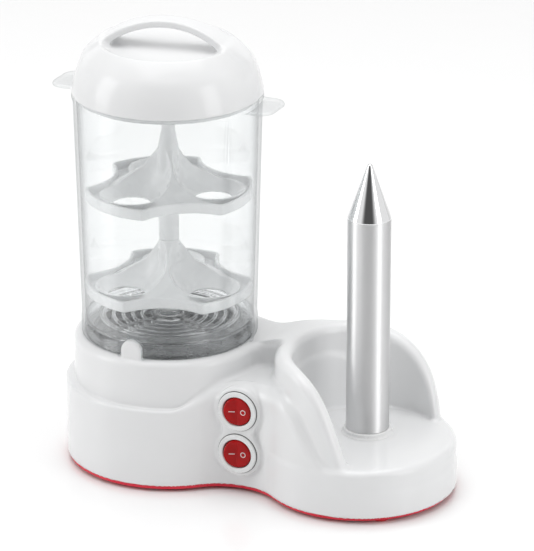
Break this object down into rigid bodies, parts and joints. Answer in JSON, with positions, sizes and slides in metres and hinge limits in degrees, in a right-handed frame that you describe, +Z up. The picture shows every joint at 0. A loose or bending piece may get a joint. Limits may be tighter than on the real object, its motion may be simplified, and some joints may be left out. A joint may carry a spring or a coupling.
{
  "type": "egg cooker",
  "caption": "Countertop steam egg cooker: clear tower over a water dish, stacked egg racks and domed lid, beside a heated bun spike with a curved screen.",
  "frame": {"origin": "on the table, under the middle of the object's overall box", "axes": "+Z up, +X from the steam tower towards the spike, -Y the front with the switches"},
  "size_m": [0.2504, 0.124, 0.2731],
  "materials": {
    "white_housing": "glossy moulded",
    "red_cover": "moulded",
    "red_foot": "soft moulded",
    "zinc_steel": "zinc plated",
    "stainless_dish": "satin",
    "silicone": "matt",
    "element_sheath": "heat tinted",
    "phenolic_black": "matt",
    "satin_aluminium": "satin",
    "polished_chrome": "polished",
    "white_collar": "glossy moulded",
    "ceramic": "unglazed",
    "white_switch": "glossy moulded",
    "red_rocker": "translucent glossy",
    "lamp_glass": "clear",
    "terminal_brass": "plain",
    "white_gland": "moulded",
    "wire_insulation": "matt",
    "clear_container": "clear polished",
    "clear_grate": "clear polished",
    "white_rack": "moulded",
    "white_lid": "glossy moulded"
  },
  "bodies": {
    "base": {"housing_shell": "white_housing", "bottom_cover": "red_cover", "feet": "red_foot", "cover_screws": "zinc_steel", "heating_plate": "stainless_dish", "plate_gasket": "silicone", "heating_element": "element_sheath", "plate_strap": "zinc_steel", "plate_screws": "zinc_steel", "thermostat": "phenolic_black", "thermal_fuse": "phenolic_black", "spike_tube": "satin_aluminium", "spike_tip": "polished_chrome", "spike_collar": "white_collar", "spike_cartridge": "element_sheath", "spike_bushings": "ceramic", "spike_bracket": "zinc_steel", "spike_screws": "zinc_steel", "upper_switch_body": "white_switch", "lower_switch_body": "white_switch", "switch_lamps": "lamp_glass", "switch_terminals": "terminal_brass", "cord_gland": "white_gland", "terminal_block": "ceramic", "internal_wires": "wire_insulation"},
    "container": {"steam_container": "clear_container", "steam_grate": "clear_grate"},
    "lower_rack": {"lower_egg_rack": "white_rack"},
    "upper_rack": {"upper_egg_rack": "white_rack"},
    "lid": {"lid": "white_lid"},
    "upper_rocker": {"upper_rocker": "red_rocker"},
    "lower_rocker": {"lower_rocker": "red_rocker"}
  },
  "joints": [
    {"name": "container_lift", "type": "slide", "parent": "base", "child": "container", "axis": [0, 0, 1], "range_m": [0, 0.06]},
    {"name": "lower_rack_lift", "type": "slide", "parent": "container", "child": "lower_rack", "axis": [0, 0, 1], "range_m": [0, 0.15]},
    {"name": "upper_rack_lift", "type": "slide", "parent": "lower_rack", "child": "upper_rack", "axis": [0, 0, 1], "range_m": [0, 0.1]},
    {"name": "lid_lift", "type": "slide", "parent": "upper_rack", "child": "lid", "axis": [0, 0, 1], "range_m": [0, 0.08]},
    {"name": "upper_switch", "type": "hinge", "parent": "base", "child": "upper_rocker", "pos_m": [0.009, -0.0408, 0.053], "axis": [0, 0, -1], "range_deg": [0, 20]},
    {"name": "lower_switch", "type": "hinge", "parent": "base", "child": "lower_rocker", "pos_m": [0.009, -0.0408, 0.0262], "axis": [0, 0, -1], "range_deg": [0, 20]}
  ]
}
